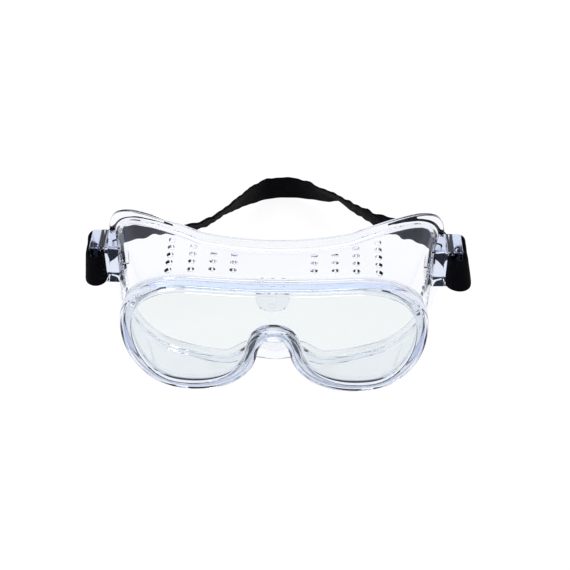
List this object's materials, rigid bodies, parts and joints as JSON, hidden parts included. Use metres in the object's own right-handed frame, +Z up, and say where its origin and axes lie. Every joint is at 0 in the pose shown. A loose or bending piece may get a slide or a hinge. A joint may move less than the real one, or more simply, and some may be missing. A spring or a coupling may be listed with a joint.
{
  "type": "safety goggles",
  "caption": "Clear vinyl safety goggles: a bent clear lens in a soft moulded frame with vented walls, strap lugs at the temples and a stretchy black headband looped behind.",
  "frame": {"origin": "on the table, under the middle of the whole object's box", "axes": "+X to the right seen from in front, +Y back towards the wearer and the headband, +Z up"},
  "size_m": [0.2075, 0.1822, 0.0819],
  "materials": {
    "clear_vinyl": "clear flexible PVC with a faint blue cast, glossy, bright along its edges",
    "clear_lens": "clear, colourless, polished",
    "black_elastic": "black woven elastic with fine lengthwise ribs, matt"
  },
  "bodies": {
    "frame": {"frame": "clear_vinyl", "lens": "clear_lens", "headband_end_right": "black_elastic", "headband_end_left": "black_elastic"},
    "headband_sides": {"headband_side_right": "black_elastic", "headband_side_left": "black_elastic"},
    "headband_back": {"headband_back": "black_elastic"}
  },
  "joints": [
    {"name": "headband_swing", "type": "hinge", "parent": "frame", "child": "headband_sides", "pos_m": [0, -0.0209, 0.0488], "axis": [1, 0, 0], "range_deg": [-35, 85], "deforming": ["headband_side_right", "headband_side_left"]},
    {"name": "headband_stretch", "type": "slide", "parent": "headband_sides", "child": "headband_back", "axis": [0, 1, 0], "range_m": [0, 0.045], "stiffness_N_per_m": 110, "deforming": ["headband_side_right", "headband_side_left"]}
  ]
}
